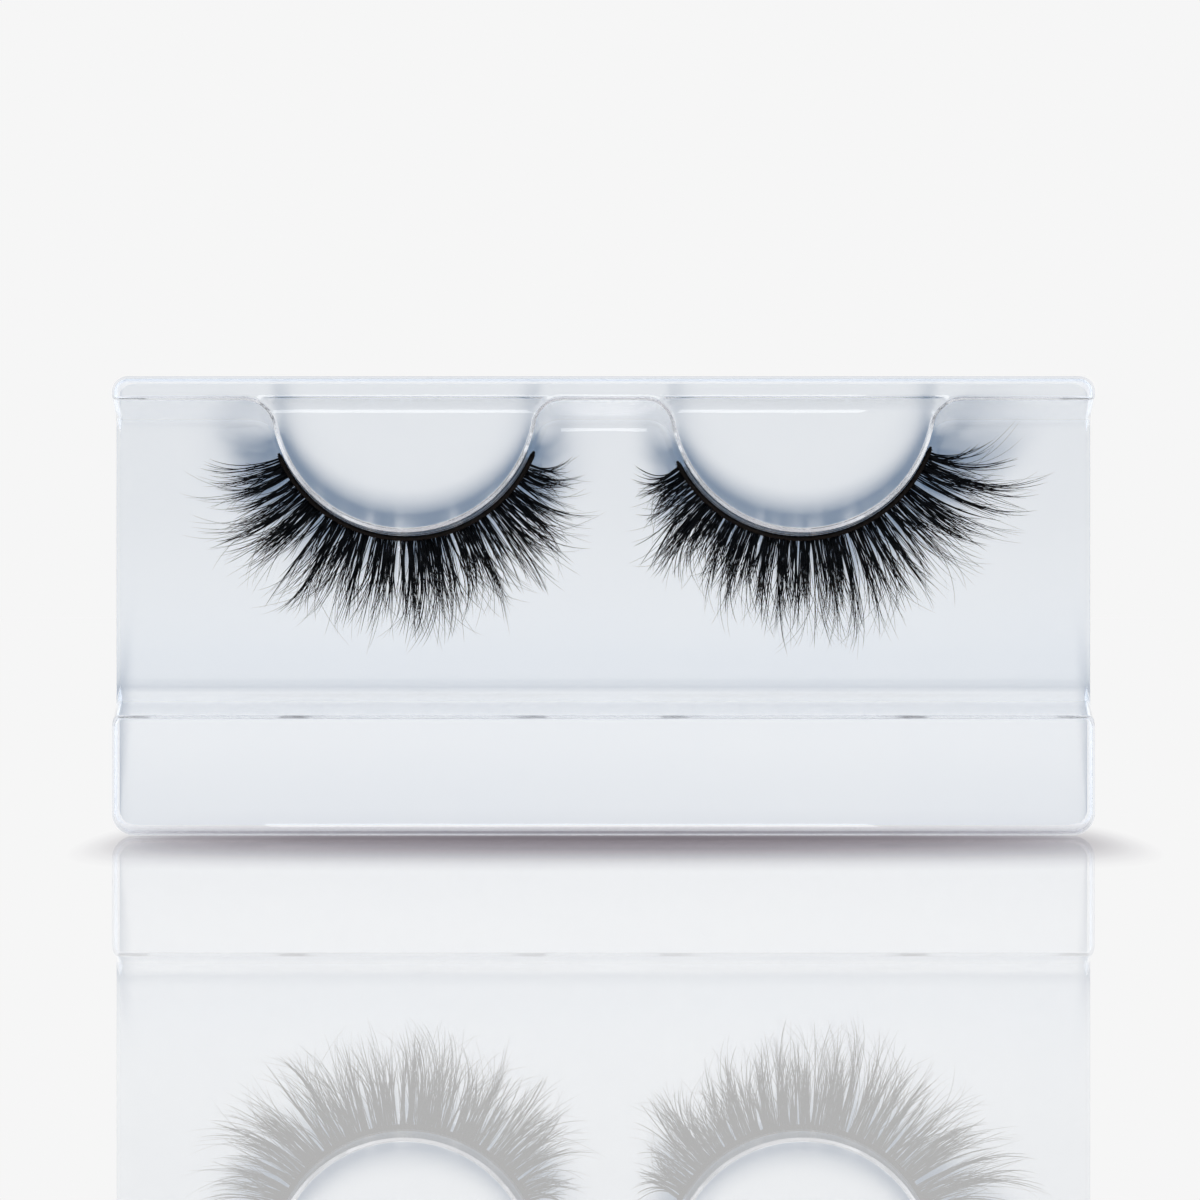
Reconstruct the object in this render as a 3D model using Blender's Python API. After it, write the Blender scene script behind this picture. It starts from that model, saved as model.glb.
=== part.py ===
"""Eyelash case: a clear thermoformed tray that stands on its long bottom wall, with a pair of
strip lashes stuck on the curved walls of its two half-moon platforms.

Frame: +X to the right, +Y to the back, +Z up, origin at the middle of the base.
The front plane of the sheet is at y = -DEPTH / 2 and the trimmed back edge at y = +DEPTH / 2.
Every length below is in millimetres and is turned into metres when a mesh is made.
"""

import math

import bmesh
import bpy
from mathutils import Vector
from mathutils.geometry import delaunay_2d_cdt

MM = 0.001

# ---------------------------------------------------------------- driving dimensions, mm
WIDTH = 108.0  # tray, left to right, at the front
DEPTH = 12.5  # front plane to trimmed edge
HEIGHT = 50.5  # base to top wall
SHEET = 0.4  # thickness of the clear sheet
SIDE_DRAFT = 0.65  # how far each end wall leans out from the front to the trimmed edge
LEAN_FROM = 42.0  # distance from the middle at which the sheet begins to follow that lean

RIM_EDGE_Z = 48.63  # lower edge of the top rim's front face, where it begins to round over
TROUGH_DEPTH = 9.5  # front plane to trough floor
PLATFORM_DEPTH = 1.8  # front plane to half-moon platforms
PANEL_EDGE_Z = 12.7  # upper edge of the lower panel's front face

MOON_X = 22.0  # half-moon centres, left and right of the middle
MOON_Z = 48.1
MOON_R = 14.2  # platform radius where its edge begins to round over
FLARE_R = 3.0  # concave corner between a half-moon and the rim

RIM_DRAFT = math.radians(13.9)
STEP_DRAFT = math.radians(33.0)
MOON_DRAFT = math.radians(1.5)
PANEL_DRAFT = math.radians(11.0)
RIM_TOP_ROUND, MOON_TOP_ROUND, PANEL_TOP_ROUND = 0.8, 0.55, 0.55
RIM_BASE_ROUND, MOON_BASE_ROUND, PANEL_BASE_ROUND = 1.5, 2.2, 2.0  # wall to trough floor
STEP_TOP_ROUND, STEP_BASE_ROUND = 0.8, 1.5  # rim to platform

CORNER_TOP, CORNER_BOTTOM = 1.7, 2.4  # outline corners seen from the front
EDGE_ROUND, EDGE_ROUND_BOTTOM = 0.75, 1.5  # front edge into the outer walls
RIM_END_ROUND, PANEL_END_ROUND = 0.75, 1.1  # height of the round where a trough wall runs out at the ends

TOP_SEGMENTS, BASE_SEGMENTS, STEP_SEGMENTS = 2, 5, 2
ARC_SEGMENTS, FLARE_EXTRA = 26, 1
CORNER_SEGMENTS, EDGE_SEGMENTS = 4, 3

# ---------------------------------------------------------------- lashes, mm and degrees
BAND_LEVEL = 7.35  # depth of the band's middle line below the front plane
BAND_TALL = 0.9
BAND_THICK = 0.36
GLUE_TALL = 0.75
GLUE_THICK = 0.16
CLEAR = 0.12  # play between wall, glue, band and hair roots
ROOT_TALL = 0.8
ROOT_THICK = 0.5
TIP_THICK = 0.12
BAND_STEP = 4.5  # degrees per facet

# Angles are measured about the half-moon's centre from straight down, positive to the right.
LEFT_ENDS = (-66.0, 67.0)
RIGHT_ENDS = (-62.5, 69.0)
LEFT_GAPS = (-56.0, -36.0, -14.0, -3.0, 19.0, 35.5, 52.6)
RIGHT_GAPS = (-50.0, -33.0, -16.0, -1.0, 19.0, 37.0, 55.0)
FAN_GAP = 1.1  # degrees between neighbouring fans
FAN_POINTS = 4  # spikes on one fan
FAN_ROWS = 4
CURL = 4.4  # how far the tips rise towards the front


# ---------------------------------------------------------------- scene helpers
def clear_scene():
    for obj in list(bpy.data.objects):
        bpy.data.objects.remove(obj, do_unlink=True)


def material(name, colour, roughness, metallic=0.0, alpha=1.0, transmission=0.0):
    mat = bpy.data.materials.new(name)
    mat.use_nodes = True
    shader = mat.node_tree.nodes["Principled BSDF"]
    shader.inputs["Base Color"].default_value = (*colour, 1.0)
    shader.inputs["Roughness"].default_value = roughness
    shader.inputs["Metallic"].default_value = metallic
    shader.inputs["Alpha"].default_value = alpha
    shader.inputs["Transmission Weight"].default_value = transmission
    mat.diffuse_color = (*colour, alpha)
    return mat


def add_object(name, bm, mat, parent=None, sharp=35.0):
    """A named object from a bmesh in millimetres; with a parent, its mesh is kept about the parent's origin."""
    shift = parent.location if parent else Vector((0, 0, 0))
    for v in bm.verts:
        v.co = v.co * MM - shift
    mesh = bpy.data.meshes.new(name)
    bm.to_mesh(mesh)
    bm.free()
    mesh.materials.append(mat)
    mesh.shade_smooth()
    mesh.set_sharp_from_angle(angle=math.radians(sharp))
    obj = bpy.data.objects.new(name, mesh)
    bpy.context.scene.collection.objects.link(obj)
    if parent:
        obj.parent = parent
    return obj


# ---------------------------------------------------------------- tray sections
def wall_section(drop, top_round, base_round, draft, top_n, base_n):
    """Points (out, down) of a drafted wall, from the start of its top round to the end of its base round."""
    turn = math.pi / 2 - draft
    points = [
        (top_round * math.sin(turn * i / top_n), top_round * (1 - math.cos(turn * i / top_n)))
        for i in range(top_n + 1)
    ]
    straight = drop - (top_round + base_round) * (1 - math.cos(turn))
    foot = points[-1][0] + straight * math.tan(draft)
    for i in range(base_n + 1):
        a = turn * (1 - i / base_n)
        points.append(
            (foot + base_round * (math.sin(turn) - math.sin(a)), drop - base_round * (1 - math.cos(a)))
        )
    return points


RIM_WALL = wall_section(TROUGH_DEPTH, RIM_TOP_ROUND, RIM_BASE_ROUND, RIM_DRAFT, TOP_SEGMENTS, BASE_SEGMENTS)
MOON_WALL = wall_section(
    TROUGH_DEPTH - PLATFORM_DEPTH, MOON_TOP_ROUND, MOON_BASE_ROUND, MOON_DRAFT, TOP_SEGMENTS, BASE_SEGMENTS
)
PANEL_WALL = wall_section(
    TROUGH_DEPTH, PANEL_TOP_ROUND, PANEL_BASE_ROUND, PANEL_DRAFT, TOP_SEGMENTS, BASE_SEGMENTS
)
STEP_WALL = wall_section(PLATFORM_DEPTH, STEP_TOP_ROUND, STEP_BASE_ROUND, STEP_DRAFT, STEP_SEGMENTS, STEP_SEGMENTS)


def along(points, value):
    """Depth read off a section's polyline at a distance out from its edge."""
    if value <= points[0][0]:
        return points[0][1]
    for (a, da), (b, db) in zip(points, points[1:]):
        if value <= b:
            return da + (db - da) * (value - a) / (b - a)
    return points[-1][1]


def side_depth(z):
    """Depth of the sheet along the tray's two ends, where the profile runs out."""
    if z > 0.5 * (RIM_EDGE_Z + PANEL_EDGE_Z):
        return along(RIM_WALL, RIM_EDGE_Z - z)
    return along(PANEL_WALL, z - PANEL_EDGE_Z)


def step_depth(z):
    """Depth of the surface that the half-moon walls rise to: the rim's face, then the platform's."""
    return along(STEP_WALL, RIM_EDGE_Z - z)


def flare_angles(level_lean, first_lean):
    """Angles round a flare, from the rim line to the half-moon. On the first level its points lie at the
    heights of the step's rows; deeper levels spread the same points over their own arc."""
    angles = [math.asin(max(-1.0, min(1.0, 1 - out / FLARE_R))) for out, _ in STEP_WALL]
    last = angles[-1]
    angles += [last + (first_lean - last) * k / (FLARE_EXTRA + 1) for k in range(1, FLARE_EXTRA + 1)]
    quarter = math.pi / 2
    return [quarter - (quarter - a) * (quarter - level_lean) / (quarter - first_lean) for a in angles]


def flare_place(level):
    """Half-moon radius, height of the flares' centres, their distance from the half-moon's middle, and the
    angle by which the tangent point lies below the horizontal."""
    radius = MOON_R + MOON_WALL[level][0]
    centre_z = RIM_EDGE_Z - RIM_WALL[level][0] - FLARE_R
    reach = math.sqrt((radius + FLARE_R) ** 2 - (centre_z - MOON_Z) ** 2)
    return radius, centre_z, reach, math.atan2(MOON_Z - centre_z, reach)


def moon_contour(level):
    """One level of the trough's upper boundary round the right half-moon, left flare to right flare."""
    radius, centre_z, reach, lean = flare_place(level)
    flare = flare_angles(lean, flare_place(0)[3])
    points = [(MOON_X - reach + FLARE_R * math.cos(a), centre_z + FLARE_R * math.sin(a)) for a in flare]
    for i in range(ARC_SEGMENTS + 1):
        a = math.pi + lean + i / ARC_SEGMENTS * (math.pi - 2 * lean)
        points.append((MOON_X + radius * math.cos(a), MOON_Z + radius * math.sin(a)))
    points += [(MOON_X + reach - FLARE_R * math.cos(a), centre_z + FLARE_R * math.sin(a)) for a in reversed(flare)]
    return points


def trough_contour(level):
    """The whole upper boundary of the trough at one level, left end to right end, as (x, z, depth)."""
    weights = [step_depth(z) / PLATFORM_DEPTH for _, z in moon_contour(0)]
    rim_down, moon_down = RIM_WALL[level][1], PLATFORM_DEPTH + MOON_WALL[level][1]
    right = [(x, z, rim_down + w * (moon_down - rim_down)) for (x, z), w in zip(moon_contour(level), weights)]
    left = [(-x, z, d) for x, z, d in reversed(right)]
    edge = WIDTH / 2 - EDGE_ROUND
    line = RIM_EDGE_Z - RIM_WALL[level][0]
    far = [(LEAN_FROM, line, rim_down), (edge, line, rim_down)]
    return [(-x, z, d) for x, z, d in reversed(far)] + left + [(0.0, line, rim_down)] + right + far


def outline():
    """The tray's outline, anticlockwise from the front, as (x, z, outward x, outward z, edge round, lift).
    Lift is how far the outline bends away from the trough where a wall turns into the tray's end."""
    half = WIDTH / 2
    points = []

    def corner(cx, cz, radius, start, r0, r1):
        for i in range(CORNER_SEGMENTS + 1):
            a = start + math.pi / 2 * i / CORNER_SEGMENTS
            nx, nz = math.cos(a), math.sin(a)
            points.append(
                (cx + radius * nx, cz + radius * nz, nx, nz, r0 + (r1 - r0) * i / CORNER_SEGMENTS, 0.0)
            )

    rows = [(PANEL_EDGE_Z + out, -PANEL_END_ROUND) for out, _ in PANEL_WALL]
    rows += [(0.5 * (PANEL_EDGE_Z + RIM_EDGE_Z), 0.0)]
    rows += [(RIM_EDGE_Z - out, min(RIM_END_ROUND, 0.5 * out)) for out, _ in reversed(RIM_WALL)]
    corner(half - CORNER_BOTTOM, CORNER_BOTTOM, CORNER_BOTTOM, -math.pi / 2, EDGE_ROUND_BOTTOM, EDGE_ROUND)
    points += [(half, z, 1.0, 0.0, EDGE_ROUND, lift) for z, lift in rows]
    corner(half - CORNER_TOP, HEIGHT - CORNER_TOP, CORNER_TOP, 0.0, EDGE_ROUND, EDGE_ROUND)
    points.append((0.0, HEIGHT, 0.0, 1.0, EDGE_ROUND, 0.0))
    corner(CORNER_TOP - half, HEIGHT - CORNER_TOP, CORNER_TOP, math.pi / 2, EDGE_ROUND, EDGE_ROUND)
    points += [(-half, z, -1.0, 0.0, EDGE_ROUND, lift) for z, lift in reversed(rows)]
    corner(CORNER_BOTTOM - half, CORNER_BOTTOM, CORNER_BOTTOM, math.pi, EDGE_ROUND, EDGE_ROUND_BOTTOM)
    points.append((0.0, 0.0, 0.0, -1.0, EDGE_ROUND_BOTTOM, 0.0))
    return points


def end_lean(x, depth):
    """How far a point of the front surface leans out with its depth; only near the tray's two ends."""
    share = max(0.0, min(1.0, (abs(x) - LEAN_FROM) / (WIDTH / 2 - EDGE_ROUND - LEAN_FROM)))
    return math.copysign(SIDE_DRAFT * depth / DEPTH * share, x)


def inside(point, loop):
    """True if a plan point lies within a closed loop of (x, z, ...) points."""
    found = False
    for (ax, az, *_), (bx, bz, *_) in zip(loop, loop[1:] + loop[:1]):
        if (az > point.y) != (bz > point.y) and point.x < ax + (bx - ax) * (point.y - az) / (bz - az):
            found = not found
    return found


def build_tray(mat):
    """The sheet's outer skin as one open surface, which a Solidify thickens inwards."""
    plan, depths, edges, index = [], [], [], {}

    def vertex(x, z, depth):
        key = (round(x, 5), round(z, 5))
        if key not in index:
            index[key] = len(plan)
            plan.append(Vector((x, z)))
            depths.append(depth)
        return index[key]

    def line(points, closed=False):
        ids = [vertex(*p) for p in points]
        pairs = list(zip(ids, ids[1:])) + ([(ids[-1], ids[0])] if closed else [])
        edges.extend(p for p in pairs if p[0] != p[1])
        return ids

    # Inner loop of the rounded front edge: everything inside it is a surface seen from the front.
    ring = outline()
    inner = []
    for x, z, nx, nz, r, _ in ring:
        px, pz = x - nx * r, z - nz * r
        inner.append((px, pz, side_depth(z) if nz == 0 else 0.0))
    inner_ids = line(inner, closed=True)
    for level in range(len(RIM_WALL)):
        line(trough_contour(level))
    edge = WIDTH / 2 - EDGE_ROUND
    for out, down in PANEL_WALL:
        line([(x, PANEL_EDGE_Z + out, down) for x in (-edge, -LEAN_FROM, 0.0, LEAN_FROM, edge)])
    # Rows of the step from the rim's face down to each platform, flare to flare.
    top = moon_contour(0)
    for i, (_, down) in enumerate(STEP_WALL):
        (xl, z), (xr, _) = top[i], top[-1 - i]
        if i > 0:
            for side in (-1, 1):
                line([(side * xl, z, down), (side * xr, z, down)])

    points, _, faces, origin, _, _ = delaunay_2d_cdt(plan, edges, [], 0, 1e-6)
    assert len(points) == len(plan), "two plan lines cross"
    bm = bmesh.new()
    front = -DEPTH / 2
    verts = []
    for new, olds in enumerate(origin):
        depth = depths[olds[0]]
        x, z = points[new]
        verts.append(bm.verts.new((x + end_lean(x, depth), front + depth, z)))
    where = {old: verts[new] for new, olds in enumerate(origin) for old in olds}
    for face in faces:
        a, b, c = (points[i] for i in face[:3])
        if abs((b - a).cross(c - a)) > 1e-7 and inside((a + b + c) / 3, inner):
            bm.faces.new([verts[i] for i in face])

    # Rounded front edge, then the outer walls straight back to the trimmed edge.
    last = [where[i] for i in inner_ids]
    for step in range(1, EDGE_SEGMENTS + 2):
        loop = []
        for (x, z, nx, nz, r, lift), start in zip(ring, inner):
            if step <= EDGE_SEGMENTS:
                a = math.pi / 2 * step / EDGE_SEGMENTS
                inset, turned = r * (1 - math.sin(a)), 1 - math.cos(a)
                co = (x - nx * inset, front + start[2] + r * turned, z - nz * inset + lift * turned)
            else:
                co = (x, DEPTH / 2, z + lift)
            lean = SIDE_DRAFT * (co[1] - front) / DEPTH * nx
            loop.append(bm.verts.new((co[0] + lean, co[1], co[2])))
        for i in range(len(loop)):
            j = (i + 1) % len(loop)
            bm.faces.new([last[i], loop[i], loop[j], last[j]])
        last = loop
    bmesh.ops.triangulate(bm, faces=[f for f in bm.faces if len(f.verts) > 4])
    tray = add_object("tray", bm, mat, sharp=50.0)
    solid = tray.modifiers.new("sheet", "SOLIDIFY")
    solid.thickness = SHEET * MM
    solid.offset = -1.0
    solid.use_even_offset = True
    solid.use_quality_normals = True
    solid.use_rim = True
    return tray


# ---------------------------------------------------------------- lashes
def wall_radius(depth):
    """Radius of the half-moon's wall at a depth below the front plane, on its straight part."""
    out, down = MOON_WALL[TOP_SEGMENTS]
    return MOON_R + out + (depth - PLATFORM_DEPTH - down) * math.tan(MOON_DRAFT)


def on_wall(side, theta, away, up):
    """A point by its angle about the half-moon, its distance away from the wall's face and its height up
    that face towards the front, in millimetres, from the band's middle line."""
    radius = wall_radius(BAND_LEVEL) + away * math.cos(MOON_DRAFT) - up * math.sin(MOON_DRAFT)
    depth = BAND_LEVEL - away * math.sin(MOON_DRAFT) - up * math.cos(MOON_DRAFT)
    a = math.radians(theta)
    return Vector(
        (side * MOON_X + radius * math.sin(a), -DEPTH / 2 + depth, MOON_Z - radius * math.cos(a))
    )


def ribbon(side, start, end, near, thick, tall, taper):
    """A strip that follows the wall: a rounded four-sided section, thinner over the last stretch of each end."""
    bm = bmesh.new()
    count = max(2, math.ceil((end - start) / BAND_STEP))
    rows = []
    for i in range(count + 1):
        theta = start + (end - start) * i / count
        thin = taper if i in (0, count) else 1.0
        low, high = -tall / 2 * thin, tall / 2 * thin
        far = near + thick * thin
        section = [
            (near, low * 0.8),
            (near, high * 0.8),
            (far - 0.2 * thick, high),
            (far, high * 0.6),
            (far, low * 0.6),
            (far - 0.2 * thick, low),
        ]
        rows.append([bm.verts.new(on_wall(side, theta, away, up)) for away, up in section])
    for a, b in zip(rows, rows[1:]):
        for i in range(6):
            j = (i + 1) % 6
            bm.faces.new([a[i], a[j], b[j], b[i]])
    bm.faces.new(rows[0])
    bm.faces.new(list(reversed(rows[-1])))
    bmesh.ops.recalc_face_normals(bm, faces=bm.faces)
    return bm


def hair_length(side, theta):
    """How far the hairs reach in the picture plane: longest at the outer end of each lash, shortest at the inner."""
    outward = theta * side / 68.0  # +1 at the outer end
    if outward > 0:
        return 9.3 + 0.9 * outward
    return 9.3 + 3.6 * outward * abs(outward)


def fan(side, start, end, seed):
    """One bundle of hair: a root strip along the band that opens into curved, tapering spikes."""
    bm = bmesh.new()
    columns = 2 * FAN_POINTS + 1
    near = CLEAR + GLUE_THICK + CLEAR + BAND_THICK + CLEAR
    grid = []
    for i in range(columns):
        u = i / (columns - 1)
        theta = start + (end - start) * u
        reach = hair_length(side, theta) + 0.35 * math.sin(2.1 * seed + 1.7 * i)
        full = reach if i % 2 else 0.62 * reach
        lean = math.radians(2.0 * (u - 0.5) + 6.0 * side * max(0.0, theta * side - 45.0) / 25.0)
        column = []
        for k in range(FAN_ROWS + 1):
            t = k / FAN_ROWS
            out = full * t
            share = out / reach
            rise = CURL * (0.25 * share + 0.75 * share**2.2)
            thick = ROOT_THICK + (TIP_THICK - ROOT_THICK) * share
            root = on_wall(side, theta, near, 0.0)
            way = Vector((math.sin(math.radians(theta) + lean), 0.0, -math.cos(math.radians(theta) + lean)))
            middle = root + way * out + Vector((0.0, -rise, 0.0))
            back = Vector((0.0, 0.5 * (ROOT_TALL if k == 0 else thick), 0.0))
            column.append((bm.verts.new(middle - back), bm.verts.new(middle + back)))
        grid.append(column)

    def quad(a, b, c, d):
        bm.faces.new([a, b, c, d])

    for i in range(columns - 1):
        for k in range(FAN_ROWS):
            quad(grid[i][k][0], grid[i + 1][k][0], grid[i + 1][k + 1][0], grid[i][k + 1][0])
            quad(grid[i][k][1], grid[i][k + 1][1], grid[i + 1][k + 1][1], grid[i + 1][k][1])
        for k in (0, FAN_ROWS):
            quad(grid[i][k][0], grid[i][k][1], grid[i + 1][k][1], grid[i + 1][k][0])
    for i in (0, columns - 1):
        for k in range(FAN_ROWS):
            quad(grid[i][k][0], grid[i][k + 1][0], grid[i][k + 1][1], grid[i][k][1])
    bmesh.ops.recalc_face_normals(bm, faces=bm.faces)
    return bm


def build_lash(label, side, ends, gaps, mats):
    """A strip lash: glue line, band and its row of hair fans, all on one empty at the half-moon's centre."""
    axis = bpy.data.objects.new(label + "_lash_axis", None)
    axis.empty_display_size = 0.005
    axis.location = (side * MOON_X * MM, (-DEPTH / 2 + BAND_LEVEL) * MM, MOON_Z * MM)
    bpy.context.scene.collection.objects.link(axis)
    start, end = ends
    glue = ribbon(side, start + 2.0, end - 2.0, CLEAR, GLUE_THICK, GLUE_TALL, 0.7)
    add_object(label + "_lash_adhesive", glue, mats["adhesive"], axis)
    band = ribbon(side, start - 1.5, end + 1.5, CLEAR + GLUE_THICK + CLEAR, BAND_THICK, BAND_TALL, 0.6)
    add_object(label + "_lash_band", band, mats["band"], axis)
    bounds = [start, *gaps, end]
    for n, (a, b) in enumerate(zip(bounds, bounds[1:]), 1):
        bm = fan(side, a + FAN_GAP / 2, b - FAN_GAP / 2, n + 10 * side)
        add_object(f"{label}_fan_{n:02d}", bm, mats["hair"], axis)


def main():
    clear_scene()
    bpy.context.scene.unit_settings.system = "METRIC"
    bpy.context.scene.unit_settings.scale_length = 1.0
    clear = material("clear_sheet", (0.86, 0.90, 0.95), 0.04, alpha=0.35, transmission=1.0)
    mats = {
        "adhesive": material("removable_glue", (0.52, 0.46, 0.42), 0.3),
        "band": material("band_cotton", (0.012, 0.011, 0.012), 0.55),
        "hair": material("black_hair", (0.008, 0.008, 0.010), 0.42),
    }
    build_tray(clear)
    build_lash("left", -1, LEFT_ENDS, LEFT_GAPS, mats)
    build_lash("right", 1, RIGHT_ENDS, RIGHT_GAPS, mats)


main()
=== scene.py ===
"""Looks of the eyelash case: a clear thermoformed tray with a pair of strip lashes.

Frame: metres, +X right, +Y to the back, +Z up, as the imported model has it. Shapes are worked out in
millimetres here and turned into metres when a mesh is made.
"""

import math
import random

import bmesh
import bpy
import numpy as np
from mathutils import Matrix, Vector
from mathutils.geometry import delaunay_2d_cdt


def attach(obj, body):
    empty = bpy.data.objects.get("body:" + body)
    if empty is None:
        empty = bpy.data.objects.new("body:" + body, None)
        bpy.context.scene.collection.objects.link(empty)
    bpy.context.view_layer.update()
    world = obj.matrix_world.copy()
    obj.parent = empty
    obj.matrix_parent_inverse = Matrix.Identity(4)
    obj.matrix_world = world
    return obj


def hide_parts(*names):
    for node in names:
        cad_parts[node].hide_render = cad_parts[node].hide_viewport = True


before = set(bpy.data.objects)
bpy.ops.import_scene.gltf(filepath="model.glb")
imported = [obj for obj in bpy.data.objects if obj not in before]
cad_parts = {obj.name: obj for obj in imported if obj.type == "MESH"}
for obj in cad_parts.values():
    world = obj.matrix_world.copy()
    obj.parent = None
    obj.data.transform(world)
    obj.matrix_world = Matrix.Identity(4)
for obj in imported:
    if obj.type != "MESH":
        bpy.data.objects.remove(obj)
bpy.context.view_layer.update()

MM = 0.001

# ---------------------------------------------------------------- tray, mm (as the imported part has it)
WIDTH, DEPTH, HEIGHT, SHEET = 108.0, 12.5, 50.5, 0.4
SIDE_DRAFT = 0.65  # how far each end wall leans out from the front to the trimmed edge
LEAN_FROM = 42.0  # distance from the middle at which the sheet begins to follow that lean
RIM_EDGE_Z = 48.63
STEP_EDGE_Z = 48.63
TROUGH_DEPTH = 9.5
PLATFORM_DEPTH = 1.8
PANEL_EDGE_Z = 12.7
MOON_X, MOON_Z, MOON_R = 22.0, 48.1, 14.2
FLARE_R = 3.0
RIM_DRAFT = math.radians(13.9)
STEP_DRAFT = math.radians(33.0)
MOON_DRAFT = math.radians(1.5)
PANEL_DRAFT = math.radians(11.0)
RIM_TOP_ROUND, MOON_TOP_ROUND, PANEL_TOP_ROUND = 0.8, 0.55, 0.55
RIM_BASE_ROUND, MOON_BASE_ROUND, PANEL_BASE_ROUND = 1.5, 2.2, 2.0
STEP_TOP_ROUND, STEP_BASE_ROUND = 0.8, 1.5
CORNER_TOP, CORNER_BOTTOM = 1.7, 2.4
EDGE_ROUND, EDGE_ROUND_BOTTOM = 0.75, 1.5
RIM_END_ROUND, PANEL_END_ROUND = 0.75, 1.1
TOP_SEGMENTS, BASE_SEGMENTS = 7, 9
STEP_SEGMENTS = 7
ARC_SEGMENTS, FLARE_EXTRA = 108, 2
CORNER_SEGMENTS, EDGE_SEGMENTS = 10, 9
PITCH = 3.0  # spacing of points along the straight edges

# ---------------------------------------------------------------- lashes, mm and degrees
BAND_LEVEL = 7.35
BAND_TALL, BAND_THICK = 0.9, 0.36
GLUE_TALL, GLUE_THICK = 0.75, 0.16
CLEAR = 0.12
LEFT_ENDS = (-66.0, 67.0)
RIGHT_ENDS = (-62.5, 69.0)
LEFT_GAPS = (-56.0, -36.0, -14.0, -3.0, 19.0, 35.5, 52.6)
RIGHT_GAPS = (-50.0, -33.0, -16.0, -1.0, 19.0, 37.0, 55.0)
CURL = 4.4

# ---------------------------------------------------------------- camera, mm
EYE = Vector((-0.38, -516.25, 25.9))
SENSOR, LENS = 36.0, 139.35
PX = 131.76 / 1200.0  # mm per photo pixel on the tray's front plane


def from_photo(px, py, depth):
    """The point that lies at a pixel of the 1200-pixel frame, at a depth below the tray's front plane."""
    scale = PX * (510.0 + depth) / 510.0
    return Vector((EYE.x + (px - 600.0) * scale, -DEPTH / 2 + depth, EYE.z + (600.0 - py) * scale))


# ================================================================ materials
def new_material(name):
    mat = bpy.data.materials.new(name)
    mat.use_nodes = True
    tree = mat.node_tree
    tree.nodes.clear()
    out = tree.nodes.new("ShaderNodeOutputMaterial")
    return mat, tree, out


def node(tree, kind, **inputs):
    made = tree.nodes.new(kind)
    for key, value in inputs.items():
        made.inputs[key.replace("_", " ")].default_value = value
    return made


def noise_node(tree, coords, scale, detail=3.0, rough=0.5):
    made = tree.nodes.new("ShaderNodeTexNoise")
    made.inputs["Scale"].default_value = scale
    made.inputs["Detail"].default_value = detail
    made.inputs["Roughness"].default_value = rough
    tree.links.new(coords, made.inputs["Vector"])
    return made


def ramp(tree, factor, stops):
    made = tree.nodes.new("ShaderNodeValToRGB")
    elements = made.color_ramp.elements
    while len(elements) < len(stops):
        elements.new(0.5)
    for element, (where, colour) in zip(elements, stops):
        element.position = where
        element.color = (*colour, 1.0) if len(colour) == 3 else colour
    tree.links.new(factor, made.inputs["Fac"])
    return made


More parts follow.
